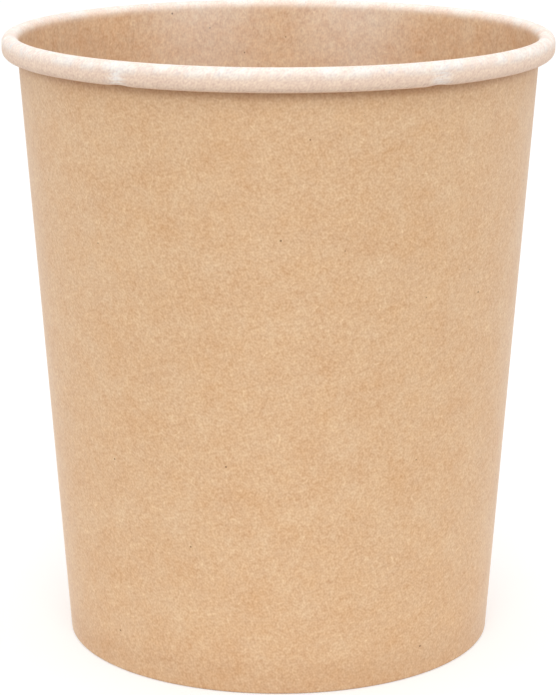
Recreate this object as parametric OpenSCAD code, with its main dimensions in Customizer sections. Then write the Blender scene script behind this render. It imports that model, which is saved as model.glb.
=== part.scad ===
// Soup cup of coated paper board, standing on its folded foot.
// The side wall is one sheet: a cone lapped along one seam, rolled outward into a bead at the
// top, and folded inward and up into a hem at the bottom. The hem holds the skirt of a
// recessed base disc. The origin is the centre of the foot plane, +Z is up, and sizes are in mm.

/* [Cup] */
// Diameter over the rolled rim
rim_d = 118; // [113:0.5:126]
// Height from the table to the top of the rim
height = 133; // [90:1:170]
// Diameter over the folded foot
foot_d = 93.2; // [86:0.2:102]

/* [Board] */
// Thickness of the coated board of the side wall
wall_t = 0.45; // [0.35:0.05:0.5]
// Thickness of the coated board of the base
base_t = 0.4; // [0.3:0.05:0.5]
// Film of seal between the base's skirt and each ply of the foot
seal_gap = 0.02; // [0.01:0.01:0.05]

/* [Rolled rim] */
// Height of the bead
bead_h = 5; // [4.6:0.1:6]
// Width of the bead, from the inside of the wall to the outside of the roll
bead_w = 3.6; // [3.2:0.1:4]
// Gap between the wall and the tucked end of the roll
curl_gap = 0.15; // [0.1:0.05:0.3]
// Length of board that stands up inside the bead
curl_end = 0.8; // [0.4:0.1:1.2]

/* [Base and foot] */
// Height of the underside of the base above the table
base_z = 9; // [9:0.5:14]
// Length of the hem that is folded up inside the foot
hem_len = 7.6; // [4:0.2:7.8]
// Bend radius along the middle of the board at the foot
fold_r = 0.25; // [0.25:0.05:0.4]
// Bend radius along the middle of the board at the edge of the base
base_r = 0.6; // [0.4:0.1:0.8]

/* [Side seam] */
// Where the outer ply's cut edge lies, as an angle from +X
seam_at = 4; // [0:1:355]
// Angle that the two plies overlap by
lap = 8; // [6:0.5:12]
// Angle over which the outer ply comes back down to the single wall
ramp = 3; // [2:0.5:5]
// Depth of the step that the inner ply's cut edge leaves across the bead
nick_depth = 0.22; // [0.1:0.02:0.3]
// Angle that this step takes up
nick = 1.2; // [0.8:0.2:2]

/* [Hidden] */
$fn = 64;

kraft = "#d9b48a";
kraft_inside = "#c79a6b";

half_t = wall_t / 2;
// Steps that each bend of the bead, of its tucked end and of the fold is drawn in
bead_steps = 6;
tuck_steps = 4;
fold_steps = 3;

// Radii of the roll, and centres of the roll and of the outer fold, in the plane of the section
bead_r = bead_w / 2 - half_t;
bead_c = [rim_d / 2 - bead_w / 2, height - bead_w / 2];
fold_c = [foot_d / 2 - fold_r - half_t, fold_r + half_t];

// The wall is the straight tangent that crosses from the fold to the roll
span = bead_c - fold_c;
lean = atan2(span[1], span[0]) + asin((bead_r + fold_r) / norm(span));
wall_len = sqrt(span * span - (bead_r + fold_r) ^ 2);
along = [cos(lean), sin(lean)];
outward = [sin(lean), -cos(lean)];
wall_foot = fold_c + fold_r * outward;

// Distance between the middles of the wall and the hem, with the base's skirt between them
ply_gap = wall_t + base_t + 2 * seal_gap;
foot_flat = (ply_gap - 2 * fold_r) / sin(lean);

// Radius of the last quarter of the roll, which clears the wall by curl_gap
tuck_z = height - bead_h + half_t + bead_r;
curl_r = bead_c[0] - half_t - curl_gap - wall_x(tuck_z, half_t);

// How far along the wall the outer ply and the step inside reach, short of the roll
lap_short = 0.3;
step_short = 0.5;
lap_top = wall_len - lap_short;
step_top = wall_len - step_short;
// Where the inner ply's cut edge lies, as an angle from +X
lap_end = seam_at + lap;
// Bevel of the outer ply at the foot, so that it stays above the table
lap_bevel = 0.6;
lap_tail = 0.1;

// Offset of the tapering surfaces' axis, so that they fall by one ply over the ramp
ramp_shift = wall_t / sin(ramp);
// Angles that the lap's shapes run on past the ramp, and that the tapering surfaces are longer by
ramp_spare = 0.5;
taper_spare = 3;
// How far a cutting shape reaches past what it cuts
cut = 2;
// How far below the bead the step across it starts
nick_run = 1;

// A step of a path is its length and how far it turns, to the left when positive
function straight(length) = [[length, 0]];
function bend(r, turn, steps) = [for (i = [1:steps]) [2 * r * sin(abs(turn) / steps / 2), turn / steps]];

// Follows the steps from a state of x, z and heading, and keeps every state on the way
function step_from(s, step) = [
    s[0] + step[0] * cos(s[2] + step[1] / 2),
    s[1] + step[0] * sin(s[2] + step[1] / 2),
    s[2] + step[1]
];
function trace(s, steps, i = 0) =
    i == len(steps) ? [s] : concat([s], trace(step_from(s, steps[i]), steps, i + 1));

// Points at a distance to the left of a path
function beside(path, d) = [for (s = path) [s[0] - d * sin(s[2]), s[1] + d * cos(s[2])]];
function reversed(list) = [for (i = [len(list) - 1:-1:0]) list[i]];

// Outline of the board between two distances to the left of a path
function board(path, right, left) = concat(beside(path, left), reversed(beside(path, right)));

// A point of the side wall's section: s along the wall from the fold, off outward from its middle
function wall_point(s, off) = wall_foot + s * along + off * outward;
function wall_x(z, off) = wall_foot[0] + (z - wall_foot[1]) / tan(lean) + off / sin(lean);

// Radius seen from the offset axis, for a point that lies square to the offset
function seen(p) = [sqrt(p[0] ^ 2 + ramp_shift ^ 2), p[1]];

hem_top = fold_c - [foot_flat, 0] - fold_r * outward + hem_len * along;
foot_path = trace(
    concat(hem_top, lean - 180),
    concat(
        straight(hem_len),
        bend(fold_r, 180 - lean, fold_steps),
        straight(foot_flat),
        bend(fold_r, lean, fold_steps)
    )
);
bead_path = trace(
    concat(wall_point(wall_len, 0), lean),
    concat(
        bend(bead_r, -lean, bead_steps),
        bend(bead_r, -90, bead_steps),
        straight(bead_h - bead_w),
        bend(bead_r, -90, bead_steps)
    )
);
tuck_path = trace(
    bead_path[len(bead_path) - 1],
    concat(
        bend(curl_r, -90, tuck_steps),
        straight(curl_end)
    )
);
sheet_path = concat(foot_path, bead_path, [for (i = [1:len(tuck_path) - 1]) tuck_path[i]]);

// The base: a flat disc whose edge turns down into a skirt that lies along the wall
skirt_off = half_t + seal_gap + base_t / 2;
skirt_lift = 0.2;
base_mid = base_z + base_t / 2;
bend_s = (base_mid - base_r - wall_foot[1] - (skirt_off + base_r) * cos(lean)) / sin(lean);
bend_c = wall_point(bend_s, -skirt_off - base_r);
base_path = trace(
    [0, base_mid, 0],
    concat(
        straight(bend_c[0]),
        bend(base_r, -180 + lean, bead_steps),
        straight(bend_s - skirt_lift)
    )
);

// Turns a section about the cup's axis, from one angle to another
module turned(from, to) {
    rotate_extrude(angle = to - from, start = from) children();
}

// Turns a section about an axis set off square to the angle at, so that its surface falls
// toward the cup's axis with growing angle when side is -1, and rises from it when side is 1
module tapered(at, side) {
    near = atan(2 * ramp_shift / rim_d);
    far = atan(2 * ramp_shift / (foot_d - 2 * cut));
    from = (side < 0 ? near : -far) - taper_spare;
    to = (side < 0 ? far : -near) + ramp + taper_spare;
    rotate([0, 0, at])
        translate([0, side * ramp_shift, 0])
            rotate_extrude(angle = to - from, start = from)
                children();
}

// The outer ply of the lap, from its cut edge to the end of the ramp
module outer_ply() {
    difference() {
        turned(seam_at, lap_end + ramp + ramp_spare)
            polygon([
                wall_point(-lap_tail, 0),
                wall_point(lap_bevel, half_t + wall_t),
                wall_point(lap_top, half_t + wall_t),
                wall_point(lap_top, 0)
            ]);
        tapered(lap_end, -1)
            polygon([
                seen(wall_point(-cut, half_t + wall_t)),
                seen(wall_point(lap_top + cut, half_t + wall_t)),
                seen(wall_point(lap_top + cut, half_t + wall_t)) + [cut, 0],
                seen(wall_point(-cut, half_t + wall_t)) + [cut, 0]
            ]);
    }
    difference() {
        turned(seam_at, lap_end + ramp + ramp_spare)
            polygon([
                wall_point(-lap_tail, -ply_gap),
                wall_point(hem_len, -ply_gap),
                wall_point(hem_len, -ply_gap - half_t - wall_t),
                wall_point(lap_bevel, -ply_gap - half_t - wall_t)
            ]);
        tapered(lap_end, 1)
            polygon([
                seen(wall_point(-cut, -ply_gap - half_t - wall_t)),
                seen(wall_point(-cut, -ply_gap - half_t - wall_t)) - [cut, 0],
                seen(wall_point(hem_len + cut, -ply_gap - half_t - wall_t)) - [cut, 0],
                seen(wall_point(hem_len + cut, -ply_gap - half_t - wall_t))
            ]);
    }
}

// What is missing inside, where the inner ply has ended and the outer ply ramps down
module inner_step() {
    low = (base_z + base_t - wall_foot[1]) / sin(lean);
    intersection() {
        turned(lap_end, lap_end + ramp + 2 * ramp_spare)
            polygon([
                wall_point(low, -cut),
                wall_point(low, wall_t),
                wall_point(step_top, wall_t),
                wall_point(step_top, -cut)
            ]);
        tapered(lap_end, -1)
            polygon([
                seen(wall_point(low - cut, half_t)),
                seen(wall_point(step_top + cut, half_t)),
                seen(wall_point(step_top + cut, half_t)) - [2 * cut, 0],
                seen(wall_point(low - cut, half_t)) - [2 * cut, 0]
            ]);
    }
}

// The inner ply's cut edge where it crosses the bead
module bead_nick() {
    path = concat([concat(wall_point(wall_len - nick_run, 0), lean)], bead_path);
    turned(lap_end, lap_end + nick)
        polygon(board(path, half_t - nick_depth, half_t + nick_depth));
}

module side_wall() {
    color(kraft)
        difference() {
            union() {
                rotate_extrude() polygon(board(sheet_path, -half_t, half_t));
                outer_ply();
            }
            inner_step();
            bead_nick();
        }
}

module base_disc() {
    color(kraft_inside)
        rotate_extrude() polygon(board(base_path, -base_t / 2, base_t / 2));
}

side_wall();
base_disc();
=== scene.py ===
"""Looks for a kraft soup cup: a lapped board wall with a rolled rim, and a recessed base.

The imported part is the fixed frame. Each sub-assembly is a class that works out the section of
its board from a few sizes, wraps the flat board about the cup's axis with Geometry Nodes, and
dresses the result. Sizes are in millimetres until a mesh is made, and in metres from there on.
"""

import logging
import math
from collections.abc import Callable, Iterable, Mapping
from dataclasses import dataclass, field
from enum import Enum
from functools import partial
from typing import Any

import bpy
from bpy.types import Material, Node, NodeSocket, NodeTree, Object
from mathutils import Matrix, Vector

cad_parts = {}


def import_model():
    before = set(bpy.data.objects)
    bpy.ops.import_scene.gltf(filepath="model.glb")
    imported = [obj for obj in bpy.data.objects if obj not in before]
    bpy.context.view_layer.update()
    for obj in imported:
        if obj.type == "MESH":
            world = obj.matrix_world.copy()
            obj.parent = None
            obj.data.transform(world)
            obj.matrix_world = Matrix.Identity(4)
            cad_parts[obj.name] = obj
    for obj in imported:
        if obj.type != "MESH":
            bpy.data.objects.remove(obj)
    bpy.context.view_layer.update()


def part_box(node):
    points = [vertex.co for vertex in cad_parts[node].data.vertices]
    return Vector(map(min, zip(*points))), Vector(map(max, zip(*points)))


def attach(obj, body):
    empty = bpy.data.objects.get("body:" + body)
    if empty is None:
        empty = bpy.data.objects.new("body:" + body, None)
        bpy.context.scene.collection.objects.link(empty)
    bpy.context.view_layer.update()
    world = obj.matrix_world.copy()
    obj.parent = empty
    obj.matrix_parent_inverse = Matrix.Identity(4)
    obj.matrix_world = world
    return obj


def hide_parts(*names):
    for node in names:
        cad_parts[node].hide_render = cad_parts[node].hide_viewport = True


# Adds a node to the tree that it is bound to
Adder = Callable[..., Node]

LOG = logging.getLogger("soup_cup")
MM = 0.001

# Blender's names of the nodes that come up most
MATH = "ShaderNodeMath"
VECTOR_MATH = "ShaderNodeVectorMath"
MAP_RANGE = "ShaderNodeMapRange"
NOISE = "ShaderNodeTexNoise"
MIX = "ShaderNodeMix"
COMBINE = "ShaderNodeCombineXYZ"
SEPARATE = "ShaderNodeSeparateXYZ"
ATTRIBUTE = "ShaderNodeAttribute"
NAMED = "GeometryNodeInputNamedAttribute"
STORE = "GeometryNodeStoreNamedAttribute"
PAINT = "GeometryNodeSetMaterial"

# The flat blank runs from -0.5 to 0.5 each way, and what lies past this is its edge
BLANK_EDGE = 0.4999
# Points of a ring closer than this are one, in metres
MERGE_WITHIN = 1e-6


class Ply(Enum):
    """Which sheet of board a wrapped mesh stands for."""

    LAPPED = "lapped"
    CLOSED = "closed"


class Field(Enum):
    """Named attributes that the section hands to the board, and the board to its finish."""

    FACING = "facing"
    PRESS = "press"
    REACH = "reach"
    SLACK = "slack"
    BLANK = "blank"
    ROLL = "roll"
    PAINTED_SHADE = "burnish"
    # Painted shade under the roll and near the foot
    PINCH = "pinch"
    # Painted reflection of the lamps on the inner film
    PAINTED_REFLECTION = "haze"
    KNURL = "knurl"
    # Underside of the roll, which the pinches push out and which carries a painted shade
    UNDER = "under"


def srgb(code: str) -> tuple[float, float, float, float]:
    """Turn an sRGB hex colour into linear RGBA.

    Args:
        code: Colour as six hex digits after a hash.

    Returns:
        Linear red, green and blue, and an alpha of 1.
    """
    values = [int(code[i : i + 2], 16) / 255 for i in (1, 3, 5)]
    linear = [v / 12.92 if v <= 0.04045 else ((v + 0.055) / 1.055) ** 2.4 for v in values]
    return (linear[0], linear[1], linear[2], 1.0)


def add_node(
    tree: NodeTree, kind: str, inputs: Mapping[int | str, Any] | None = None, **settings: Any
) -> Node:
    """Add one node with its settings, values and links.

    Args:
        tree: Tree that the node goes into.
        kind: Blender's type name of the node.
        inputs: Value, socket or node for each named or numbered input. A node stands for its
            first output.
        **settings: Properties of the node, set before its inputs.

    Returns:
        The new node.
    """
    node = tree.nodes.new(kind)
    for name, value in settings.items():
        setattr(node, name, value)
    for key, value in (inputs or {}).items():
        if isinstance(value, Node):
            value = value.outputs[0]
        if isinstance(value, NodeSocket):
            tree.links.new(value, node.inputs[key])
        else:
            node.inputs[key].default_value = value
    return node


def stand(name: str, data: Any) -> Object:
    """Put a new object into the scene.

    Args:
        name: Name of the object.
        data: Mesh, lamp or camera that it shows.

    Returns:
        The object.
    """
    item = bpy.data.objects.new(name, data)
    bpy.context.scene.collection.objects.link(item)
    return item


@dataclass(frozen=True)
class Step:
    """One place on the middle of a board's section."""

    x: float
    z: float
    heading: float
    reach: float

    def onward(self, length: float, turn: float) -> "Step":
        """Move along a chord while the heading turns.

        Args:
            length: Length of the chord, in millimetres.
            turn: How far the heading turns, in radians, to the left when positive.

        Returns:
            The next place.
        """
        middle = self.heading + turn / 2
        return Step(
            self.x + length * math.cos(middle),
            self.z + length * math.sin(middle),
            self.heading + turn,
            self.reach + length,
        )


def run(path: list[Step], length: float, pieces: int) -> None:
    """Lengthen a section by a straight run of board.

    Args:
        path: Section so far, which is added to.
        length: Length of the run, in millimetres.
        pieces: Number of equal pieces to draw it in.
    """
    for _ in range(pieces):
        path.append(path[-1].onward(length / pieces, 0.0))


def bend(path: list[Step], radius: float, turn: float, pieces: int) -> None:
    """Lengthen a section by a bend.

    Args:
        path: Section so far, which is added to.
        radius: Radius along the middle of the board, in millimetres.
        turn: Angle of the bend, in radians, to the left when positive.
        pieces: Number of equal pieces to draw it in.
    """
    chord = 2 * radius * math.sin(abs(turn) / pieces / 2)
    for _ in range(pieces):
        path.append(path[-1].onward(chord, turn / pieces))


def ease(value: float, low: float, high: float) -> float:
    """Rise smoothly from 0 at low to 1 at high.

    Args:
        value: Place to look at.
        low: Where the rise starts.
        high: Where it ends, which may lie below low.

    Returns:
        A number from 0 to 1.
    """
    t = min(max((value - low) / (high - low), 0.0), 1.0)
    return t * t * (3 - 2 * t)


@dataclass(frozen=True)
class CupSizes:
    """Driving sizes of the cup, in millimetres, the same as those of its solids."""

    rim: float
    height: float
    foot: float = 93.2
    board: float = 0.45
    base_board: float = 0.4
    seal: float = 0.02
    bead_height: float = 5.0
    bead_width: float = 3.6
    curl_gap: float = 0.15
    curl_end: float = 0.8
    base_rise: float = 9.0
    hem: float = 7.6
    fold: float = 0.25
    base_bend: float = 0.6
    skirt_lift: float = 0.2

    @classmethod
    def from_frame(cls) -> "CupSizes":
        """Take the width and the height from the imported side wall."""
        low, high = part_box("side_wall")
        return cls(rim=(high.x - low.x) / MM, height=high.z / MM)

    @property
    def half(self) -> float:
        """Half the thickness of the wall's board."""
        return self.board / 2

    @property
    def roll(self) -> float:
        """Radius of the rolled bead along the middle of its board."""
        return self.bead_width / 2 - self.half

    @property
    def roll_centre(self) -> tuple[float, float]:
        """Centre of the bead's first bend, as x and z."""
        return (self.rim / 2 - self.bead_width / 2, self.height - self.bead_width / 2)

    @property
    def fold_centre(self) -> tuple[float, float]:
        """Centre of the outer fold at the foot, as x and z."""
        return (self.foot / 2 - self.fold - self.half, self.fold + self.half)

    @property
    def span(self) -> float:
        """Distance between the centres of the roll and of the fold."""
        return math.dist(self.roll_centre, self.fold_centre)

    @property
    def lean(self) -> float:
        """Angle of the wall above the table, in radians."""
        rise = self.roll_centre[1] - self.fold_centre[1]
        across = self.roll_centre[0] - self.fold_centre[0]
        return math.atan2(rise, across) + math.asin((self.roll + self.fold) / self.span)

    @property
    def wall_length(self) -> float:
        """Length of the straight wall between the fold and the roll."""
        return math.sqrt(self.span**2 - (self.roll + self.fold) ** 2)

    @property
    def ply_gap(self) -> float:
        """Distance between the middles of the wall and of the hem."""
        return self.board + self.base_board + 2 * self.seal

    def wall_point(self, along: float, off: float) -> tuple[float, float]:
        """Find a place by the wall's section.

        Args:
            along: Distance up the wall from the outer fold.
            off: Distance outward from the middle of the wall.

        Returns:
            Its x and z.
        """
        c, s = math.cos(self.lean), math.sin(self.lean)
        x, z = self.fold_centre
        return (x + (self.fold + off) * s + along * c, z - (self.fold + off) * c + along * s)


@dataclass(frozen=True)
class Grain:
    """One size of paper grain: its width and length on the blank, and how strongly it shows."""

    width: float
    length: float
    amount: float
    detail: float = 0.0
    angle: float = 0.0


@dataclass(frozen=True)
class Flecks:
    """Rare marks in the pulp: their spacing, their size and how strongly they show."""

    spacing: float
    size: float
    amount: float


@dataclass(frozen=True)
class Patches:
    """Soft patches of one colour: their size, where they start and fill up, and a shift."""

    colour: str
    size: float
    start: float
    full: float
    shift: float = 0.0


@dataclass(frozen=True)
class KraftBoard:
    """Unbleached kraft paperboard, calendered and uncoated: matte tan with flecked fibres.

    The eye sees a fine grain of light and dark fibres, clouds that drift from ruddy to pale,
    a few long pale fibres and a few dark specks of bark.
    """

    name: str = "kraft_paperboard_calendered"
    ruddy: str = "#dba976"
    pale: str = "#e4c5a2"
    light: str = "#f4d6ae"
    dark: str = "#cb9b74"
    bark: str = "#8a6038"
    roughness: float = 0.6
    gloss: float = 0.5
    # Painted shade: multiplied into the paper just under the roll and near the foot
    burnish: str = "#dfd3cc"
    rib_pitch: float = 1.6
    rib_height: float = 0.06
    fuzz: float = 0.3
    fuzz_roughness: float = 0.3
    cloud_size: float = 10.0
    grains: tuple[Grain, ...] = (
        Grain(0.42, 0.5, 0.34),
        Grain(1.0, 1.2, 0.21),
        Grain(3.4, 4.0, 0.12, 1.0),
        Grain(9.0, 11.0, 0.1, 1.0),
    )
    hairs: Flecks = Flecks(6.0, 0.1, 0.24)
    specks: Flecks = Flecks(13.0, 0.3, 0.9)
    cloud_detail: float = 4.0
    cloud_roughness: float = 0.85
    hair_detail: float = 1.0
    hair_breaks: float = 3.0
    hair_from: float = 0.62
    hair_full: float = 0.68
    empty_cells: float = 0.5
    relief: float = 0.01
    relief_strength: float = 0.5
    seed: float = 0.0

    @property
    def fibre_reach(self) -> list[float]:
        """Linear difference between the light fibres and the dark ones."""
        return [a - b for a, b in zip(srgb(self.light)[:3], srgb(self.dark)[:3])]

    def lifted(
        self, add: Adder, amount: Node, reach: list[float], colour: Node | NodeSocket
    ) -> Node:
        """Lighten or darken a colour in step with an amount.

        Args:
            add: Adds a node to the material's tree.
            amount: How much of the reach is added.
            reach: Linear red, green and blue to add where the amount is 1.
            colour: The colour that it is added to.

        Returns:
            A node that holds the new colour.
        """
        triple = add(COMBINE, {"X": amount, "Y": amount, "Z": amount})
        return add(VECTOR_MATH, {0: triple, 1: reach, 2: colour}, operation="MULTIPLY_ADD")

    def grain(self, add: Adder, place: Node, grains: tuple[Grain, ...]) -> Node:
        """Add up the light and dark fibres of every size.

        Args:
            add: Adds a node to the material's tree.
            place: Place on the blank, in metres.
            grains: The sizes to draw.

        Returns:
            A node that is 0 for plain paper, above it where fibres are light and below it
            where they are dark.
        """
        total: Node | None = None
        for grain in grains:
            turned = add(
                "ShaderNodeMapping",
                {
                    "Vector": place,
                    "Rotation": (0.0, 0.0, grain.angle),
                    "Scale": (1 / (grain.width * MM), 1 / (grain.length * MM), 1.0),
                },
            )
            noise = add(NOISE, {"Vector": turned, "Scale": 1.0, "Detail": grain.detail})
            size = add(
                MAP_RANGE,
                {"Value": noise, "To Min": -grain.amount, "To Max": grain.amount},
                clamp=False,
            )
            total = size if total is None else add(MATH, {0: total, 1: size}, operation="ADD")
        return total

    def long_hairs(self, add: Adder, place: Node) -> Node:
        """Draw the few long pale fibres, as short stretches of a noise's level lines.

        Args:
            add: Adds a node to the material's tree.
            place: Place on the blank, in metres.

        Returns:
            A node that is above 0 on a fibre.
        """
        spacing = self.hairs.spacing * MM
        waves = add(NOISE, {"Vector": place, "Scale": 1 / spacing, "Detail": self.hair_detail})
        breaks = add(NOISE, {"Vector": place, "Scale": self.hair_breaks / spacing, "Detail": 0.0})
        line = add(
            MATH, {0: add(MATH, {0: waves, 1: 0.5}, operation="SUBTRACT")}, operation="ABSOLUTE"
        )
        near = add(
            MAP_RANGE,
            {
                "Value": line,
                "From Max": self.hairs.size / self.hairs.spacing,
                "To Min": self.hairs.amount,
                "To Max": 0.0,
            },
        )
        kept = add(
            MAP_RANGE, {"Value": breaks, "From Min": self.hair_from, "From Max": self.hair_full}
        )
        return add(MATH, {0: near, 1: kept}, operation="MULTIPLY")

    def bark_specks(self, add: Adder, place: Node) -> Node:
        """Draw the few dark specks, one in some cells of a loose net.

        Args:
            add: Adds a node to the material's tree.
            place: Place on the blank, in metres.

        Returns:
            A node that is above 0 on a speck.
        """
        cells = add(
            "ShaderNodeTexVoronoi",
            {"Vector": place, "Scale": 1 / (self.specks.spacing * MM)},
            voronoi_dimensions="2D",
        )
        pick = add("ShaderNodeSeparateColor", {"Color": cells.outputs["Color"]})
        widest = self.specks.size / self.specks.spacing
        size = add(
            MAP_RANGE,
            {
                "Value": pick.outputs["Red"],
                "From Min": self.empty_cells,
                "To Min": -widest / 2,
                "To Max": widest,
            },
        )
        inside = add(MATH, {0: size, 1: cells.outputs["Distance"]}, operation="SUBTRACT")
        return add(
            MAP_RANGE, {"Value": inside, "From Max": widest / 2, "To Max": self.specks.amount}
        )

    def paper(self, add: Adder) -> tuple[NodeSocket, Node]:
        """Draw the paper's colour and its grain.

        Args:
            add: Adds a node to the material's tree.

        Returns:
            The socket that holds the colour, and the node that holds the grain.
        """
        blank = add(ATTRIBUTE, attribute_name=Field.BLANK.value)
        place = add(
            VECTOR_MATH,
            {0: blank.outputs["Vector"], 1: (self.seed, self.seed, 0.0)},
            operation="ADD",
        )
        clouds = add(
            NOISE,
            {
                "Vector": place,
                "Scale": 1 / (self.cloud_size * MM),
                "Detail": self.cloud_detail,
                "Roughness": self.cloud_roughness,
            },
        )
        hue = add(
            MIX, {"Factor": clouds, "A": srgb(self.pale), "B": srgb(self.ruddy)}, data_type="RGBA"
        )
        grain = add(
            MATH,
            {0: self.grain(add, place, self.grains), 1: self.long_hairs(add, place)},
            operation="ADD",
        )
        shaded = self.lifted(add, grain, self.fibre_reach, hue.outputs["Result"])
        colour = add(
            MIX,
            {"Factor": self.bark_specks(add, place), "A": shaded, "B": srgb(self.bark)},
            data_type="RGBA",
        )
        return colour.outputs["Result"], grain

    def round_the_cup(self, add: Adder) -> Node:
        """Find the distance round the cup and along its section, in metres.

        Args:
            add: Adds a node to the material's tree.

        Returns:
            A node that holds the two distances as a vector.
        """
        blank = add(ATTRIBUTE, attribute_name=Field.BLANK.value)
        flat = add(SEPARATE, {0: blank.outputs["Vector"]})
        angle = add(MATH, {0: flat.outputs["X"], 1: flat.outputs["Y"]}, operation="ARCTAN2")
        slant = add(
            VECTOR_MATH,
            {0: add(COMBINE, {"X": flat.outputs["X"], "Y": flat.outputs["Y"]})},
            operation="LENGTH",
        )
        length = slant.outputs["Value"]
        arc = add(MATH, {0: angle, 1: length}, operation="MULTIPLY")
        return add(COMBINE, {"X": arc, "Y": length})

    def knurl(self, add: Adder) -> Node:
        """Press the sealing roller's ribs into the hem.

        Args:
            add: Adds a node to the material's tree.

        Returns:
            A bump node that stands the ribs up.
        """
        place = add(SEPARATE, {0: self.round_the_cup(add)})
        phase = add(
            MATH, {0: place.outputs["X"], 1: math.tau / (self.rib_pitch * MM)}, operation="MULTIPLY"
        )
        wave = add(MATH, {0: phase}, operation="SINE")
        mask = add(ATTRIBUTE, attribute_name=Field.KNURL.value)
        ribs = add(MATH, {0: wave, 1: mask.outputs["Fac"]}, operation="MULTIPLY")
        return add(
            "ShaderNodeBump", {"Height": ribs, "Distance": self.rib_height * MM, "Strength": 1.0}
        )

    def build(self) -> Material:
        """Make the material.

        Returns:
            The board's material.
        """
        material = bpy.data.materials.new(self.name)
        material.use_nodes = True
        tree = material.node_tree
        add = partial(add_node, tree)
        colour, grain = self.paper(add)
        # Painted shade darkens the paper just under the roll and near the foot, where shade falls
        rubbed_and_painted_shade = add(ATTRIBUTE, attribute_name=Field.PAINTED_SHADE.value)
        darkened = add(
            MIX,
            {"Factor": rubbed_and_painted_shade.outputs["Fac"], "A": colour, "B": srgb(self.burnish)},
            data_type="RGBA",
            blend_type="MULTIPLY",
        )
        self.coat(tree, darkened.outputs["Result"], grain, self.knurl(add))
        return material

    def coat(
        self, tree: NodeTree, colour: NodeSocket, grain: Node, relief: Node | None = None
    ) -> None:
        """Give the paper its gloss and its fine relief.

        Args:
            tree: Node tree of the material.
            colour: Socket that holds the colour.
            grain: Node that holds the height of the grain.
            relief: Bump node of anything pressed into the board.
        """
        bump = add_node(
            tree,
            "ShaderNodeBump",
            {"Height": grain, "Distance": self.relief * MM, "Strength": self.relief_strength},
        )
        if relief is not None:
            tree.links.new(relief.outputs[0], bump.inputs["Normal"])
        shader = tree.nodes["Principled BSDF"]
        tree.links.new(colour, shader.inputs["Base Color"])
        tree.links.new(bump.outputs[0], shader.inputs["Normal"])
        shader.inputs["Roughness"].default_value = self.roughness
        shader.inputs["Specular IOR Level"].default_value = self.gloss
        shader.inputs["Sheen Weight"].default_value = self.fuzz
        shader.inputs["Sheen Roughness"].default_value = self.fuzz_roughness


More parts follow.
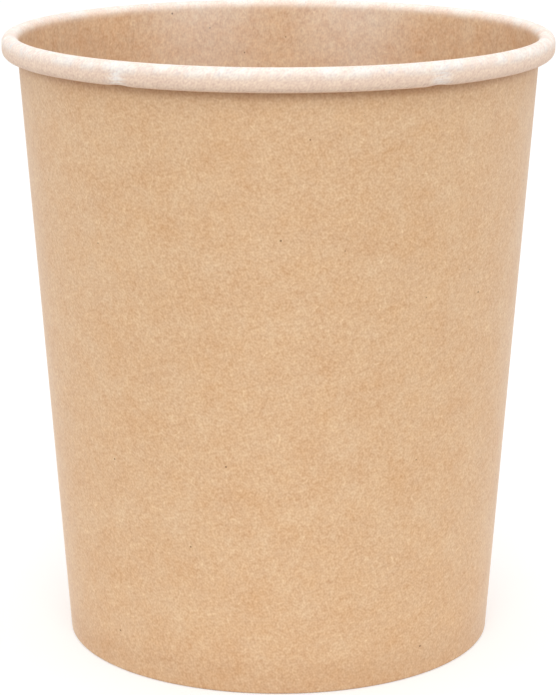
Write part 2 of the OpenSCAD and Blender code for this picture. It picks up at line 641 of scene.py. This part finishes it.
@dataclass(frozen=True)
class CoatedKraft(KraftBoard):
    """The board's inner face, coated with a clear film and calendered.

    The eye sees the same paper under a satin film, a little paler than outside, and a rolled
    rim that is nearly white where the film is stretched and crazed.
    """

    name: str = "coated_kraft_film_rolled"
    ruddy: str = "#e0ad7c"
    pale: str = "#e3ceb2"
    light: str = "#f4d8b2"
    dark: str = "#cb9f78"
    roughness: float = 0.6
    gloss: float = 0.35
    fuzz: float = 0.0
    grains: tuple[Grain, ...] = (
        Grain(0.42, 0.6, 0.31),
        Grain(1.0, 1.4, 0.27),
        Grain(3.2, 4.0, 0.2, 2.0),
        Grain(10.0, 12.0, 0.2, 1.0),
    )
    specks: Flecks = Flecks(9.0, 0.36, 1.0)
    seed: float = 0.31
    # Painted reflection of the lamps on the film, in two bands near the back
    painted_lamp_reflection: str = "#ecd8c4"
    haze: float = 0.55
    blush: str = "#fbe8db"
    # Painted shade and warm bounce light on the underside of the roll
    painted_underside_shade: str = "#f0d4be"
    scuffed: str = "#fdf8f3"
    patches: tuple[Patches, ...] = (
        Patches("#fcf4ec", 4.5, 0.42, 0.6), Patches("#f1e9e4", 3.6, 0.54, 0.72, 0.7)
    )
    patch_detail: float = 4.0
    patch_roughness: float = 0.65
    crazing: tuple[Grain, ...] = (
        Grain(0.42, 0.46, 0.4), Grain(1.0, 1.2, 0.2), Grain(3.0, 3.6, 0.12)
    )
    streak: Grain = Grain(3.0, 0.5, 0.8, 2.0)
    rubbed_from: float = 0.35
    rubbed_full: float = 0.6

    def build(self) -> Material:
        """Make the material, with the whitened roll.

        Returns:
            The coated board's material.
        """
        material = bpy.data.materials.new(self.name)
        material.use_nodes = True
        tree = material.node_tree
        add = partial(add_node, tree)
        colour, grain = self.paper(add)
        band = add(ATTRIBUTE, attribute_name=Field.PAINTED_REFLECTION.value)
        share = add(MATH, {0: band.outputs["Fac"], 1: self.haze}, operation="MULTIPLY")
        # The painted reflection of the lamps lifts the paper's plain colour and leaves its grain as
        # it is
        plain = [(a + b) / 2 for a, b in zip(srgb(self.ruddy)[:3], srgb(self.pale)[:3])]
        lift = [a - b for a, b in zip(srgb(self.painted_lamp_reflection)[:3], plain)]
        with_painted_reflection = self.lifted(add, share, lift, colour)
        roll = add(ATTRIBUTE, attribute_name=Field.ROLL.value)
        both = add(
            MIX,
            {"Factor": roll.outputs["Fac"], "A": with_painted_reflection, "B": self.crazed(add)},
            data_type="RGBA",
        )
        self.coat(tree, both.outputs["Result"], grain)
        return material

    def crazed(self, add: Adder) -> Node:
        """Draw the whitened film: patches of cream, blush and cool grey, with a painted shade
        underneath.

        Args:
            add: Adds a node to the material's tree.

        Returns:
            A node that holds the colour.
        """
        around = self.round_the_cup(add)
        under = add(ATTRIBUTE, attribute_name=Field.UNDER.value)
        pinch = add(ATTRIBUTE, attribute_name=Field.PINCH.value)
        tone: Any = srgb(self.blush)
        for patch in self.patches:
            place = add(
                VECTOR_MATH, {0: around, 1: (patch.shift, patch.shift, 0.0)}, operation="ADD"
            )
            noise = add(
                NOISE,
                {
                    "Vector": place,
                    "Scale": 1 / (patch.size * MM),
                    "Detail": self.patch_detail,
                    "Roughness": self.patch_roughness,
                },
            )
            share = add(
                MAP_RANGE,
                {"Value": noise, "From Min": patch.start, "From Max": patch.full},
                interpolation_type="SMOOTHSTEP",
            )
            mixed = add(
                MIX, {"Factor": share, "A": tone, "B": srgb(patch.colour)}, data_type="RGBA"
            )
            tone = mixed.outputs["Result"]
        # Painted shade and warm bounce light on the roll's underside, where light from above falls
        # off
        painted_shade_underneath = add(
            MIX, {"Factor": under.outputs["Fac"], "A": tone, "B": srgb(self.painted_underside_shade)}, data_type="RGBA"
        )

        # Short streaks are rubbed white where the roll is pinched
        drawn = (1 / (self.streak.width * MM), 1 / (self.streak.length * MM), 1.0)
        place = add(VECTOR_MATH, {0: around, 1: drawn}, operation="MULTIPLY")
        threads = add(NOISE, {"Vector": place, "Scale": 1.0, "Detail": self.streak.detail})
        rubbed_and_painted_shade = add(
            MAP_RANGE,
            {
                "Value": threads,
                "From Min": self.rubbed_from,
                "From Max": self.rubbed_full,
                "To Max": self.streak.amount,
            },
        )
        share = add(MATH, {0: pinch.outputs["Fac"], 1: rubbed_and_painted_shade}, operation="MULTIPLY")
        scuffed = add(
            MIX,
            {"Factor": share, "A": painted_shade_underneath.outputs["Result"], "B": srgb(self.scuffed)},
            data_type="RGBA",
        )
        marks = self.grain(add, around, self.crazing)
        return self.lifted(add, marks, self.fibre_reach, scuffed.outputs["Result"])


@dataclass(frozen=True)
class CutEdge:
    """Edge of die-cut kraft board: dry, matte fibres, a little paler than the face."""

    name: str = "kraft_board_die_cut_edge"
    fibre: str = "#e3c39d"
    roughness: float = 0.9

    def build(self) -> Material:
        """Make the material.

        Returns:
            The cut edge's material.
        """
        material = bpy.data.materials.new(self.name)
        material.use_nodes = True
        shader = material.node_tree.nodes["Principled BSDF"]
        shader.inputs["Base Color"].default_value = srgb(self.fibre)
        shader.inputs["Roughness"].default_value = self.roughness
        return material


@dataclass(frozen=True)
class BoardWrap:
    """Geometry Nodes that wrap a flat blank of board about the cup's axis.

    The blank is a thin grid. Its length becomes an angle, its width follows a section that is
    handed in as a row of points, and its thickness lies across that section. A lapped blank
    ends in two cut edges, one outside the other, and a closed one is merged into a ring.
    """

    around: int
    thickness: float
    start: float
    end: float
    lap_end: float
    ramp: float
    gap: float
    apex: float
    cone: float
    ply: Ply = Ply.LAPPED
    slack_size: float = 2.4
    slack_detail: float = 2.0
    front: float = math.radians(270)
    pinch_spread: float = math.radians(33)
    pinch_width: float = math.radians(3.5)
    pinch_depth: float = 0.0
    # Where the painted reflection of the lamps lies on the inner film, counted from the front
    painted_reflection_spread: float = math.radians(161)
    painted_reflection_width: float = math.radians(23)
    seed: float = 3.7

    def numbers(self) -> dict[str, float]:
        """Name the numbers that the tree is given.

        Returns:
            Each one by the name of its input, in metres and radians.
        """
        return {
            "Thickness": self.thickness * MM,
            "Start": self.start,
            "End": self.end,
            "Lap End": self.lap_end,
            "Ramp": self.ramp,
            "Gap": self.gap * MM,
            "Lapped": float(self.ply is Ply.LAPPED),
            "Apex": self.apex * MM,
            "Cone": self.cone,
            "Slack Size": self.slack_size,
            "Front": self.front,
            "Pinch Spread": self.pinch_spread,
            "Pinch Width": self.pinch_width,
            "Pinch Depth": self.pinch_depth * MM,
            "Haze Spread": self.painted_reflection_spread,
            "Haze Width": self.painted_reflection_width,
            "Seed": self.seed,
        }

    def tree(self) -> NodeTree:
        """Build the node tree.

        Returns:
            A tree with named inputs for the section, the sizes and the materials.
        """
        tree = bpy.data.node_groups.new("wrap_board", "GeometryNodeTree")
        add = partial(add_node, tree)
        for kind, names in (
            ("Geometry", ("Geometry",)),
            ("Object", ("Section",)),
            ("Int", ("Points", "Around")),
            ("Float", self.numbers()),
            ("Material", ("Outside", "Inside", "Cut Edge")),
        ):
            for name in names:
                socket = f"NodeSocket{kind}"
                tree.interface.new_socket(name, in_out="INPUT", socket_type=socket)
        tree.interface.new_socket("Geometry", in_out="OUTPUT", socket_type="NodeSocketGeometry")
        given = tree.nodes.new("NodeGroupInput").outputs

        blank = add(
            "GeometryNodeMeshCube",
            {
                "Size": (1.0, 1.0, 1.0),
                "Vertices X": given["Around"],
                "Vertices Y": given["Points"],
                "Vertices Z": 2,
            },
        )
        flat = add(SEPARATE, {0: add("GeometryNodeInputPosition")})
        turn = add(
            MAP_RANGE,
            {
                "Value": flat.outputs["X"],
                "From Min": -0.5,
                "From Max": 0.5,
                "To Min": given["Start"],
                "To Max": given["End"],
            },
        )
        last = add(MATH, {0: given["Points"], 1: 1.0}, operation="SUBTRACT")
        row = add(
            MAP_RANGE,
            {"Value": flat.outputs["Y"], "From Min": -0.5, "From Max": 0.5, "To Max": last},
        )
        index = add("FunctionNodeFloatToInt", {0: row}, rounding_mode="ROUND")
        across = add(MATH, {0: flat.outputs["Z"], 1: 0.5}, operation="ADD")

        section = add("GeometryNodeObjectInfo", {"Object": given["Section"]})
        found: dict[Field | None, Node] = {}
        for name in (
            None,
            Field.FACING,
            Field.PRESS,
            Field.REACH,
            Field.SLACK,
            Field.ROLL,
            Field.UNDER,
            Field.PAINTED_SHADE,
            Field.KNURL,
            Field.PAINTED_REFLECTION,
        ):
            vector = name in (None, Field.FACING)
            kind = "FLOAT_VECTOR" if vector else "FLOAT"
            value = (
                add("GeometryNodeInputPosition")
                if name is None
                else add(NAMED, {"Name": name.value}, data_type=kind)
            )
            found[name] = add(
                "GeometryNodeSampleIndex",
                {"Geometry": section.outputs["Geometry"], "Value": value, "Index": index},
                data_type=kind,
                clamp=True,
            )

        # The outer ply lies on the inner one from its cut edge, then comes down over the ramp
        ramp_end = add(MATH, {0: given["Lap End"], 1: given["Ramp"]}, operation="ADD")
        outer = add(
            MAP_RANGE,
            {
                "Value": turn,
                "From Min": given["Lap End"],
                "From Max": ramp_end,
                "To Min": given["Lapped"],
                "To Max": 0.0,
            },
            interpolation_type="SMOOTHSTEP",
        )
        full = add(MATH, {0: given["Start"], 1: math.tau}, operation="ADD")
        before = add(MATH, {0: full, 1: given["Ramp"]}, operation="SUBTRACT")
        inner = add(
            MAP_RANGE,
            {
                "Value": turn,
                "From Min": before,
                "From Max": full,
                "To Min": 0.0,
                "To Max": given["Lapped"],
            },
            interpolation_type="SMOOTHSTEP",
        )
        doubled = add(MATH, {0: outer, 1: inner}, operation="MAXIMUM")
        # Where both plies are pressed together, each is half as thick as the board
        pressed = add(MATH, {0: found[Field.PRESS], 1: 0.5, 2: 0.5}, operation="MULTIPLY_ADD")
        share = add(MAP_RANGE, {"Value": doubled, "To Min": 1.0, "To Max": pressed})
        under = add(
            MATH, {0: pressed, 1: given["Thickness"], 2: given["Gap"]}, operation="MULTIPLY_ADD"
        )
        lift = add(
            MATH,
            {
                0: outer,
                1: under,
                2: add(MATH, {0: given["Thickness"], 1: -0.5}, operation="MULTIPLY"),
            },
            operation="MULTIPLY_ADD",
        )
        depth = add(MATH, {0: share, 1: given["Thickness"]}, operation="MULTIPLY")
        off = add(MATH, {0: across, 1: depth, 2: lift}, operation="MULTIPLY_ADD")

        # Slack: the roll isn't quite even, so its size drifts round the cup
        round_trip = add(
            COMBINE,
            {
                "X": add(MATH, {0: turn}, operation="COSINE"),
                "Y": add(MATH, {0: turn}, operation="SINE"),
                "Z": given["Seed"],
            },
        )
        drift = add(
            NOISE, {"Vector": round_trip, "Scale": given["Slack Size"], "Detail": self.slack_detail}
        )
        swing = add(MAP_RANGE, {"Value": drift, "To Min": -1.0, "To Max": 1.0})
        loose = add(MATH, {0: swing, 1: found[Field.SLACK], 2: off}, operation="MULTIPLY_ADD")

        # Two pinches, one each side of the front, push the underside of the roll out, and two
        # bands of the film across from them get a painted reflection of the lamps
        turned_by = add(MATH, {0: turn, 1: given["Front"]}, operation="SUBTRACT")
        from_front = add(MATH, {0: turned_by, 1: math.pi}, operation="PINGPONG")
        bands: dict[str, Node] = {}
        for name in ("Pinch", "Haze"):
            beside = add(MATH, {0: from_front, 1: given[f"{name} Spread"]}, operation="SUBTRACT")
            bands[name] = add(
                MAP_RANGE,
                {
                    "Value": add(MATH, {0: beside}, operation="ABSOLUTE"),
                    "From Max": given[f"{name} Width"],
                    "To Min": 1.0,
                    "To Max": 0.0,
                },
                interpolation_type="SMOOTHSTEP",
            )
        pinch = bands["Pinch"]
        painted_lamp_reflection = add(MATH, {0: bands["Haze"], 1: found[Field.PAINTED_REFLECTION]}, operation="MULTIPLY")
        pushed = add(MATH, {0: pinch, 1: given["Pinch Depth"]}, operation="MULTIPLY")
        uneven = add(MATH, {0: pushed, 1: found[Field.UNDER], 2: loose}, operation="MULTIPLY_ADD")
        stood = add(
            VECTOR_MATH,
            {
                0: found[Field.FACING],
                1: add(COMBINE, {"X": uneven, "Y": uneven, "Z": uneven}),
                2: found[None],
            },
            operation="MULTIPLY_ADD",
        )
        wrapped = add(
            "ShaderNodeVectorRotate", {"Vector": stood, "Angle": turn}, rotation_type="Z_AXIS"
        )

        # Every point keeps its place on the flat blank, which the paper's pattern is drawn on
        slant = add(MATH, {0: given["Apex"], 1: found[Field.REACH]}, operation="ADD")
        fan = add(MATH, {0: turn, 1: given["Cone"]}, operation="MULTIPLY")
        flat_x, flat_y = (
            add(MATH, {0: slant, 1: add(MATH, {0: fan}, operation=way)}, operation="MULTIPLY")
            for way in ("SINE", "COSINE")
        )
        laid = add(COMBINE, {"X": flat_x, "Y": flat_y, "Z": across})

        # Faces at the blank's edges are cut edges
        ends: list[Node] = []
        for axis in ("X", "Y"):
            side = add(MATH, {0: flat.outputs[axis]}, operation="ABSOLUTE")
            ends.append(add(MATH, {0: side, 1: BLANK_EDGE}, operation="GREATER_THAN"))
        end_x, end_y = ends
        open_x = add(MATH, {0: end_x, 1: given["Lapped"]}, operation="MULTIPLY")
        shut_x = add(MATH, {0: end_x, 1: given["Lapped"]}, operation="GREATER_THAN")
        cut = add(MATH, {0: open_x, 1: end_y}, operation="MAXIMUM")

        mesh = add(
            STORE,
            {"Geometry": blank, "Name": Field.BLANK.value, "Value": laid},
            data_type="FLOAT_VECTOR",
            domain="POINT",
        )
        for name, value, domain in (
            (Field.ROLL.value, found[Field.ROLL], "POINT"),
            (Field.UNDER.value, found[Field.UNDER], "POINT"),
            (Field.PAINTED_SHADE.value, found[Field.PAINTED_SHADE], "POINT"),
            (Field.KNURL.value, found[Field.KNURL], "POINT"),
            (Field.PINCH.value, pinch, "POINT"),
            (Field.PAINTED_REFLECTION.value, painted_lamp_reflection, "POINT"),
            ("is_cut", cut, "FACE"),
            ("is_shut", shut_x, "FACE"),
            ("is_outer", across, "FACE"),
            ("sharp_edge", cut, "EDGE"),
        ):
            mesh = add(
                STORE,
                {"Geometry": mesh, "Name": name, "Value": value},
                data_type="BOOLEAN" if name == "sharp_edge" else "FLOAT",
                domain=domain,
            )
        moved = add("GeometryNodeSetPosition", {"Geometry": mesh, "Position": wrapped})
        opened = add(
            "GeometryNodeDeleteGeometry",
            {"Geometry": moved, "Selection": add(NAMED, {"Name": "is_shut"}, data_type="FLOAT")},
            domain="FACE",
        )
        merged = add("GeometryNodeMergeByDistance", {"Geometry": opened, "Distance": MERGE_WITHIN})
        real = add("GeometryNodeRealizeInstances", {"Geometry": merged})
        painted = add(PAINT, {"Geometry": real, "Material": given["Inside"]})
        # A face takes the mean of its corners, which is 1 on the outside and 0.5 on an edge
        for name, limit, material in (("is_outer", 0.75, "Outside"), ("is_cut", 0.5, "Cut Edge")):
            chosen = add(
                MATH,
                {0: add(NAMED, {"Name": name}, data_type="FLOAT"), 1: limit},
                operation="GREATER_THAN",
            )
            painted = add(
                PAINT, {"Geometry": painted, "Selection": chosen, "Material": given[material]}
            )
        add("NodeGroupOutput", {0: painted})
        return tree

    def wrap(
        self, name: str, path: list[Step], fields: Mapping[Field, list[float]], finishes: "Finishes"
    ) -> Object:
        """Wrap a board about the axis.

        Args:
            name: Name of the piece.
            path: Section of the board, in millimetres.
            fields: One number for each place of the section, for each named field.
            finishes: Materials of the faces and of the cut edges.

        Returns:
            The piece, as a plain mesh at the origin.
        """
        section = bpy.data.meshes.new(f"{name}_section")
        section.from_pydata([(s.x * MM, 0.0, s.z * MM) for s in path], [], [])
        facing = section.attributes.new(Field.FACING.value, "FLOAT_VECTOR", "POINT")
        for row, step in zip(facing.data, path):
            row.vector = (math.sin(step.heading), 0.0, -math.cos(step.heading))
        for key, values in fields.items():
            column = section.attributes.new(key.value, "FLOAT", "POINT")
            column.data.foreach_set("value", values)
        guide = stand(f"{name}_section", section)
        return grow(
            name,
            self.tree(),
            {
                "Section": guide,
                "Points": len(path),
                "Around": self.around,
                **self.numbers(),
                "Outside": finishes.outside,
                "Inside": finishes.inside,
                "Cut Edge": finishes.cut_edge,
            },
            [guide],
        )


def grow(
    name: str, tree: NodeTree, values: Mapping[str, Any], helpers: Iterable[Object] = ()
) -> Object:
    """Run a node tree once and keep what it makes as a plain mesh.

    Args:
        name: Name of the piece.
        tree: The tree to run.
        values: Value of each named input.
        helpers: Objects that the tree reads, removed afterwards.

    Returns:
        The piece, with no modifier left on it.
    """
    host = stand(f"{name}_host", bpy.data.meshes.new(f"{name}_host"))
    modifier = host.modifiers.new("grow", "NODES")
    modifier.node_group = tree
    sockets = {s.name: s for s in tree.interface.items_tree if s.in_out == "INPUT"}
    for key, value in values.items():
        modifier[sockets[key].identifier] = value
    host.update_tag()
    bpy.context.view_layer.update()
    graph = bpy.context.evaluated_depsgraph_get()
    mesh = bpy.data.meshes.new_from_object(host.evaluated_get(graph), depsgraph=graph)
    mesh.name = name
    for extra in (host, *helpers):
        bpy.data.objects.remove(extra)
    return stand(name, mesh)


@dataclass(frozen=True)
class Finishes:
    """Materials of one board."""

    outside: Material
    inside: Material
    cut_edge: Material


@dataclass
class SideWall:
    """The cup's one sheet of board: hem, foot, lapped wall and rolled rim."""

    sizes: CupSizes
    seam_at: float = math.radians(4)
    lap: float = math.radians(8)
    ramp: float = math.radians(3)
    lap_gap: float = 0.01
    press_run: float = 0.6
    roll_slack: float = 0.09
    pinch_depth: float = 0.28
    whitening: tuple[float, float] = (-0.9, 1.7)
    tuck: tuple[float, float] = (9.0, 7.4)
    # Painted shade near the foot, where the cup meets the table, and a painted shadow just under
    # the roll
    foot_shade_span: tuple[float, float] = (10.0, 3.0)
    foot_shade_strength: float = 0.25
    rubbed_and_painted_shade: tuple[float, float] = (-5.6, -3.6)
    # Painted reflection of the lamps on the inner film, down the wall and near the rim
    painted_reflection_span: tuple[float, float] = (-75.0, -25.0)
    painted_reflection_rim: tuple[float, float] = (-9.0, -1.0)
    rim_painted_reflection: float = 0.5
    ribs_from: tuple[float, float] = (0.4, 0.9)
    ribs_to: tuple[float, float] = (7.2, 6.7)
    # Painted shade on the underside of the roll
    underside_shade_span: tuple[float, float] = (3.8, 6.0)
    top_run: float = 6.0
    around: int = 369
    pieces: list[Object] = field(default_factory=list)

    def section(self) -> list[Step]:
        """Follow the sheet from the top of the hem, under the foot and up to the tucked end.

        Returns:
            Places on the middle of the board, with reach 0 where the wall meets the roll.
        """
        s = self.sizes
        flat = (s.ply_gap - 2 * s.fold) / math.sin(s.lean)
        top_x = s.fold_centre[0] - flat - s.fold * math.sin(s.lean) + s.hem * math.cos(s.lean)
        top_z = s.fold_centre[1] + s.fold * math.cos(s.lean) + s.hem * math.sin(s.lean)
        # Each line ends in the number of pieces that it's drawn in
        path = [Step(top_x, top_z, s.lean - math.pi, 0.0)]
        run(path, s.hem, 16)
        bend(path, s.fold, math.pi - s.lean, 6)
        run(path, flat, 1)
        bend(path, s.fold, s.lean, 6)
        run(path, s.wall_length - self.top_run, 29)
        run(path, self.top_run, 10)
        roll_start = path[-1].reach
        bend(path, s.roll, -s.lean, 12)
        bend(path, s.roll, -math.pi / 2, 12)
        run(path, s.bead_height - s.bead_width, 2)
        bend(path, s.roll, -math.pi / 2, 10)
        bend(path, self.curl_radius(path[-1]), -math.pi / 2, 8)
        run(path, s.curl_end, 1)
        return [Step(p.x, p.z, p.heading, p.reach - roll_start) for p in path]

    def curl_radius(self, tuck: Step) -> float:
        """Find the radius of the roll's last quarter, which stops short of the wall.

        Args:
            tuck: Lowest place of the bead.

        Returns:
            Radius along the middle of the board, in millimetres.
        """
        s = self.sizes
        foot_x, foot_z = s.wall_point(0.0, s.half)
        height = tuck.z + s.roll
        wall_x = foot_x + (height - foot_z) / math.tan(s.lean)
        return tuck.x - s.half - s.curl_gap - wall_x

    def fields(self, path: list[Step]) -> dict[Field, list[float]]:
        """Work out what the board does at each place of its section.

        Args:
            path: Section of the board.

        Returns:
            One number for each place, for each named field.
        """
        s = self.sizes
        foot = -s.wall_length
        hem_end = foot - 2 * math.pi * s.fold
        fields: dict[Field, list[float]] = {}
        for place in path:
            at = place.reach
            up_hem = hem_end - at
            wall = ease(at, foot, foot + self.press_run) * ease(at, 0.0, -2 * self.press_run)
            hem = ease(at, hem_end, hem_end - self.press_run)
            # Painted shade near the foot, where the cup meets the table
            band = self.foot_shade_strength * ease(at - foot, *self.foot_shade_span)
            near_rim = self.rim_painted_reflection * ease(at, *self.painted_reflection_rim)
            for key, value in (
                (Field.PRESS, max(wall, hem)),
                (Field.SLACK, self.roll_slack * MM * ease(at, 0.0, s.bead_width)),
                (Field.ROLL, ease(at, *self.whitening) * ease(at, *self.tuck)),
                # Painted shade on the underside of the roll
                (Field.UNDER, ease(at, *self.underside_shade_span)),
                # Painted shadow just under the roll, and painted shade near the foot
                (Field.PAINTED_SHADE, max(band, ease(at, *self.rubbed_and_painted_shade))),
                # Painted reflection of the lamps on the inner film
                (Field.PAINTED_REFLECTION, ease(at, *self.painted_reflection_span) + near_rim),
                (Field.KNURL, ease(up_hem, *self.ribs_from) * ease(up_hem, *self.ribs_to)),
                (Field.REACH, at * MM),
            ):
                fields.setdefault(key, []).append(value)
        return fields

    def build(self, finishes: Finishes) -> None:
        """Make the sheet.

        Args:
            finishes: Materials of the board.
        """
        s = self.sizes
        path = self.section()
        cone = math.cos(s.lean)
        wrap = BoardWrap(
            around=self.around,
            thickness=s.board,
            start=self.seam_at,
            end=self.seam_at + self.lap + math.tau,
            lap_end=self.seam_at + self.lap,
            ramp=self.ramp,
            gap=self.lap_gap,
            apex=s.wall_point(s.wall_length, 0.0)[0] / cone,
            cone=cone,
            pinch_depth=self.pinch_depth,
        )
        self.pieces.append(wrap.wrap("cup_wall", path, self.fields(path), finishes))

    def dress(self) -> None:
        """Put the sheet in place of the plain solid."""
        for piece in self.pieces:
            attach(piece, "root")
            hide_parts("side_wall")


@dataclass
class BaseDisc:
    """The recessed base: a disc whose edge turns down into a skirt."""

    sizes: CupSizes
    around: int = 257
    pieces: list[Object] = field(default_factory=list)

    def section(self) -> list[Step]:
        """Follow the board from the axis to the lower edge of the skirt.

        Returns:
            Places on the middle of the board.
        """
        s = self.sizes
        middle = s.base_rise + s.base_board / 2
        skirt = s.half + s.seal + s.base_board / 2
        foot_x, foot_z = s.wall_point(0.0, 0.0)
        down = middle - s.base_bend - foot_z
        length = (down - (skirt + s.base_bend) * math.cos(s.lean)) / math.sin(s.lean)
        bend_x, _ = s.wall_point(length, -skirt - s.base_bend)
        path = [Step(0.0, middle, 0.0, 0.0)]
        run(path, bend_x, 24)
        bend(path, s.base_bend, s.lean - math.pi, 10)
        run(path, length - s.skirt_lift, 4)
        return path

    def build(self, finishes: Finishes) -> None:
        """Make the base.

        Args:
            finishes: Materials of the board.
        """
        s = self.sizes
        path = self.section()
        plain = (Field.PRESS, Field.SLACK, Field.ROLL, Field.UNDER, Field.PAINTED_SHADE)
        fields = {key: [0.0] * len(path) for key in (*plain, Field.KNURL, Field.PAINTED_REFLECTION)}
        fields[Field.REACH] = [place.reach * MM for place in path]
        wrap = BoardWrap(
            around=self.around,
            thickness=s.base_board,
            start=0.0,
            end=math.tau,
            lap_end=0.0,
            ramp=1.0,
            gap=0.0,
            apex=0.0,
            cone=1.0,
            ply=Ply.CLOSED,
        )
        self.pieces.append(wrap.wrap("cup_base", path, fields, finishes))

    def dress(self) -> None:
        """Put the base in place of the plain solid."""
        for piece in self.pieces:
            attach(piece, "root")
            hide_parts("base_disc")


@dataclass(frozen=True)
class ProductCamera:
    """The view that the cup is looked at from, in metres and degrees."""

    distance: float = 0.555405
    height: float = 0.202889
    tilt: float = 14.137
    focal_pixels: float = 2598.448
    image_height: float = 695.0
    sensor: float = 36.0

    def build(self) -> Object:
        """Make the camera and hand it to the scene.

        Returns:
            The camera.
        """
        data = bpy.data.cameras.new("product_camera")
        data.sensor_width = self.sensor
        data.lens = self.focal_pixels * self.sensor / self.image_height
        data.clip_start, data.clip_end = 0.01, 50.0
        camera = stand("product_camera", data)
        camera.location = (0.0, -self.distance, self.height)
        camera.rotation_euler = (math.radians(90 - self.tilt), 0.0, 0.0)
        bpy.context.scene.camera = camera
        return camera


@dataclass(frozen=True)
class Softbox:
    """A large soft lamp, in metres and watts."""

    name: str
    place: tuple[float, float, float]
    side: float
    power: float

    def build(self, aim: Vector) -> Object:
        """Make the lamp and turn it to the cup.

        Args:
            aim: Point that it faces.

        Returns:
            The lamp.
        """
        data = bpy.data.lights.new(self.name, "AREA")
        data.shape = "SQUARE"
        data.size = self.side
        data.energy = self.power
        lamp = stand(self.name, data)
        lamp.location = self.place
        lamp.rotation_euler = (aim - lamp.location).to_track_quat("-Z", "Y").to_euler()
        return lamp


@dataclass(frozen=True)
class Studio:
    """A white floor under an even white sky, with soft lamps above, in front and beside."""

    table: str = "#dcdcdc"
    table_drop: float = 0.03
    table_radius: float = 0.35
    table_fade: float = 0.2
    table_glow: float = 0.36
    floor: str = "#8c8c8c"
    floor_glow: float = 0.8
    floor_half: float = 6.0
    sky: float = 0.78
    lamps: tuple[Softbox, ...] = (
        Softbox("softbox_key", (0.0, -1.5, 1.45), 1.2, 12.0),
        Softbox("softbox_top", (0.0, 0.1, 1.8), 1.2, 3.6),
        Softbox("softbox_front", (0.0, -1.9, 0.45), 0.8, 2.6),
        Softbox("softbox_left", (-0.7, 0.25, 0.1), 0.2, 0.6),
        Softbox("softbox_right", (0.7, 0.25, 0.1), 0.2, 0.6),
    )

    def build(self, cup: CupSizes) -> None:
        """Make the floor, the sky and the lamps.

        Args:
            cup: Sizes of the cup, which the lamps are aimed at.
        """
        h = self.floor_half
        mesh = bpy.data.meshes.new("studio_floor")
        z = -self.table_drop * MM
        mesh.from_pydata([(-h, -h, z), (h, -h, z), (h, h, z), (-h, h, z)], [], [(0, 1, 2, 3)])
        floor = stand("studio_floor", mesh)
        floor.data.materials.append(self.floor_paint())
        self.light_sky()
        aim = Vector((0.0, 0.0, cup.height / 2 * MM))
        [lamp.build(aim) for lamp in self.lamps]

    def seen_directly(self, add: Adder) -> Node:
        """Find the rays that show the background itself.

        Args:
            add: Adds a node to the floor's tree or the sky's.

        Returns:
            A node that is 1 for camera, glossy and transmission rays.
        """
        path = add("ShaderNodeLightPath")
        plain = add(
            MATH,
            {0: path.outputs["Is Camera Ray"], 1: path.outputs["Is Glossy Ray"]},
            operation="MAXIMUM",
        )
        return add(MATH, {0: plain, 1: path.outputs["Is Transmission Ray"]}, operation="MAXIMUM")

    def floor_paint(self) -> Material:
        """Make the white table top and the grey floor round it, which keep the cup's shadow.

        Both show as white, and the grey floor only sends less light up at the cup.

        Returns:
            The material of the floor.
        """
        material = bpy.data.materials.new("studio_table_and_floor_matte_paint")
        material.use_nodes = True
        tree = material.node_tree
        tree.nodes.clear()
        add = partial(add_node, tree)
        place = add("ShaderNodeTexCoord")
        radius = add(VECTOR_MATH, {0: place.outputs["Object"]}, operation="LENGTH")
        beyond = add(
            MAP_RANGE,
            {
                "Value": radius.outputs["Value"],
                "From Min": self.table_radius * (1 - self.table_fade),
                "From Max": self.table_radius * (1 + self.table_fade),
            },
            interpolation_type="SMOOTHSTEP",
        )
        tone = add(
            MIX, {"Factor": beyond, "A": srgb(self.table), "B": srgb(self.floor)}, data_type="RGBA"
        )
        paint = add("ShaderNodeBsdfDiffuse", {"Color": tone.outputs["Result"]})
        level = add(
            MAP_RANGE, {"Value": beyond, "To Min": self.table_glow, "To Max": self.floor_glow}
        )
        strength = add(MATH, {0: self.seen_directly(add), 1: level}, operation="MULTIPLY")
        glow = add("ShaderNodeEmission", {"Strength": strength})
        both = add("ShaderNodeAddShader", {0: paint, 1: glow})
        add("ShaderNodeOutputMaterial", {"Surface": both})
        return material

    def light_sky(self) -> None:
        """Light the scene evenly, and show the sky itself as white."""
        world = bpy.data.worlds.new("studio_sky")
        world.use_nodes = True
        tree = world.node_tree
        tree.nodes.clear()
        add = partial(add_node, tree)
        sky = add("ShaderNodeBackground", {"Color": srgb("#ffffff"), "Strength": self.sky})
        white = add("ShaderNodeBackground", {"Color": srgb("#ffffff"), "Strength": 1.0})
        mixed = add("ShaderNodeMixShader", {0: self.seen_directly(add), 1: sky, 2: white})
        add("ShaderNodeOutputWorld", {"Surface": mixed})
        bpy.context.scene.world = world


def main() -> None:
    """Build the cup's looks, its studio and its camera, in order."""
    logging.basicConfig(level=logging.INFO, format="%(name)s: %(message)s")
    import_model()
    bpy.context.scene.view_settings.view_transform = "Standard"

    sizes = CupSizes.from_frame()
    edge = CutEdge().build()
    outside = KraftBoard().build()
    inside = CoatedKraft().build()
    finishes = Finishes(outside, inside, edge)
    for part in (SideWall(sizes), BaseDisc(sizes)):
        part.build(finishes)
        part.dress()
        for piece in part.pieces:
            LOG.info("%s: %d faces", piece.name, len(piece.data.polygons))
    Studio().build(sizes)
    ProductCamera().build()


if __name__ == "__main__":
    main()
